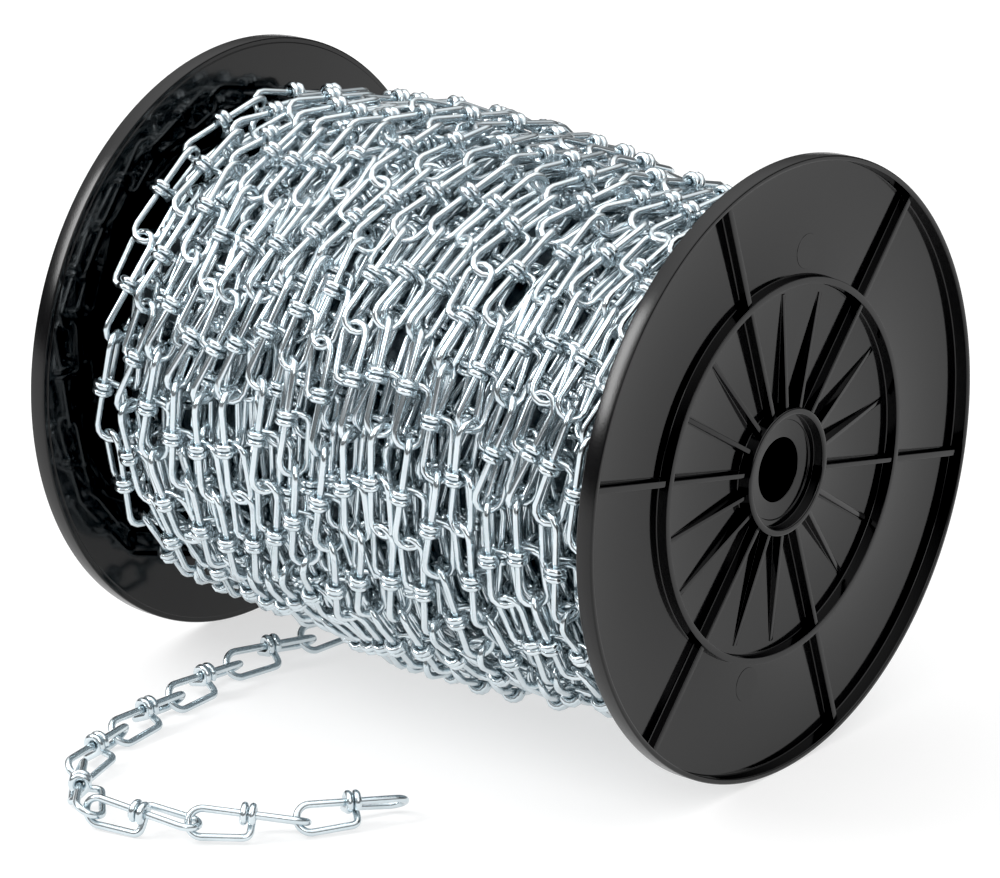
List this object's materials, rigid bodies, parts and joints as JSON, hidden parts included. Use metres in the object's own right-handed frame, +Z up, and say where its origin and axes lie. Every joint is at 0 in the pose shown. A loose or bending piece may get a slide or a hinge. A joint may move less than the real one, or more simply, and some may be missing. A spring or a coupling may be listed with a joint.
{
  "type": "reel of double loop chain",
  "caption": "Lying reel with two round ribbed black plastic flanges, wound full of knotted double-loop wire chain whose free end runs out along the floor.",
  "frame": {"origin": "on the floor under the middle of the reel", "axes": "+X along the reel's axis towards the flange that the picture shows from outside, +Z up, -Y towards the free end of the chain"},
  "size_m": [0.291, 0.3507, 0.254],
  "materials": {
    "flange_plastic": "glossy black, moulded",
    "core_plastic": "matt black",
    "chain_steel": "bright zinc plating, slightly blue"
  },
  "bodies": {
    "root": {"near_flange": "flange_plastic", "far_flange": "flange_plastic", "core_tube": "core_plastic", "chain_winding": "chain_steel", "wound_strand": "chain_steel", "lead_link_01": "chain_steel", "lead_link_02": "chain_steel", "tail_link_01": "chain_steel", "tail_link_02": "chain_steel", "tail_link_03": "chain_steel", "tail_link_04": "chain_steel", "tail_link_05": "chain_steel", "tail_link_06": "chain_steel", "tail_link_07": "chain_steel", "tail_link_08": "chain_steel", "tail_link_09": "chain_steel"}
  },
  "joints": []
}
